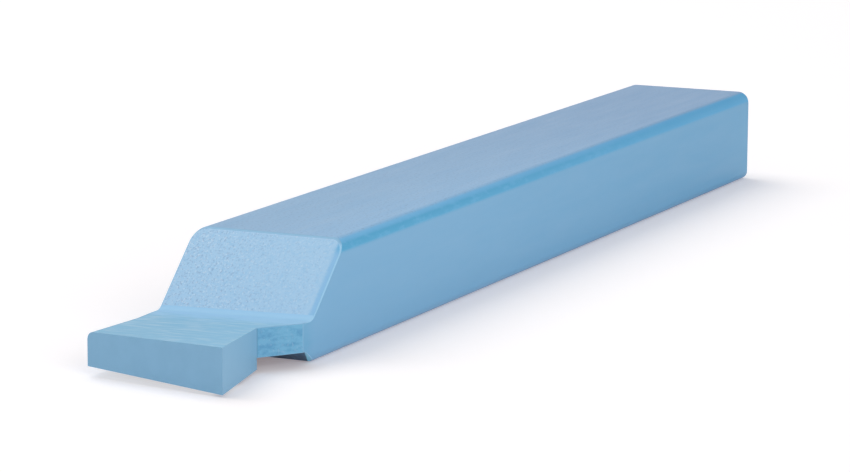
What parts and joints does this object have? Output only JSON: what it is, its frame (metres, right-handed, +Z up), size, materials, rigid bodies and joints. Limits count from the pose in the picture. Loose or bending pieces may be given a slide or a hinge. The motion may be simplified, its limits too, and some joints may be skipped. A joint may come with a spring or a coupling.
{
  "type": "brazed carbide lathe tool",
  "caption": "Right-hand brazed carbide parting tool with a rectangular painted steel shank, sloping shoulder, narrow blade and a raked carbide tip seated on its nose.",
  "frame": {"origin": "middle of the bounding box on the surface the tool lies on, halfway between the tail and the cutting edge", "axes": "+X from the tail to the cutting edge, +Y from the base to the top of the tool as it is clamped, +Z up from the left side it lies on to the right side"},
  "size_m": [0.1, 0.012, 0.008],
  "materials": {
    "shank_paint": "satin sky-blue enamel over milled steel, fine grain on the shoulder",
    "tip_paint": "smooth even slate-blue enamel over sintered carbide",
    "braze_paint": "blue enamel over the braze seam, slightly darker"
  },
  "bodies": {
    "root": {"shank": "shank_paint", "carbide_tip": "tip_paint", "braze_layer": "braze_paint"}
  },
  "joints": []
}
